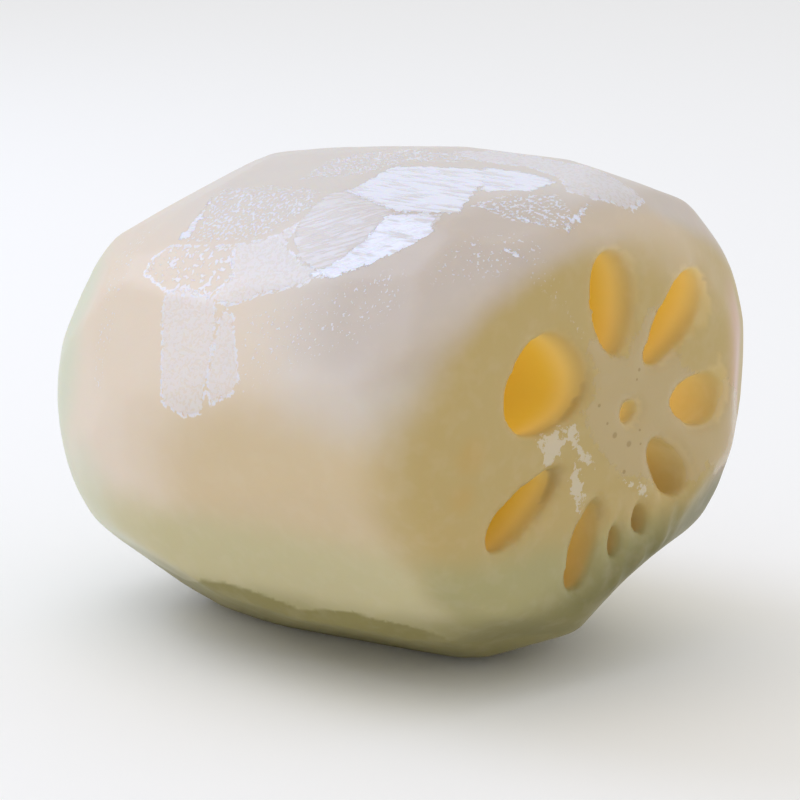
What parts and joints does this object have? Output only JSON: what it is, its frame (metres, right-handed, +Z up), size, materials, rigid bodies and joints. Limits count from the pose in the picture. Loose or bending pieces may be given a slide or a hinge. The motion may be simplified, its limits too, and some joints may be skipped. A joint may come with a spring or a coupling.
{
  "type": "lotus root segment",
  "caption": "Peeled lotus root segment lying on its side: a plump barrel with flats left by a peeler, cut at both ends, with air channels running through it.",
  "frame": {"origin": "middle of the box's underside, on the surface that the segment rests on", "axes": "+Z up, +X along the segment and out of its broad cut end, -Y towards the side with the short crossing strokes"},
  "size_m": [0.082, 0.0704, 0.0648],
  "materials": {
    "flesh": "moist raw flesh, peeled, pale cream turning olive round the cut end, with starchy sheen on the flats"
  },
  "bodies": {
    "root": {"segment": "flesh"}
  },
  "joints": []
}
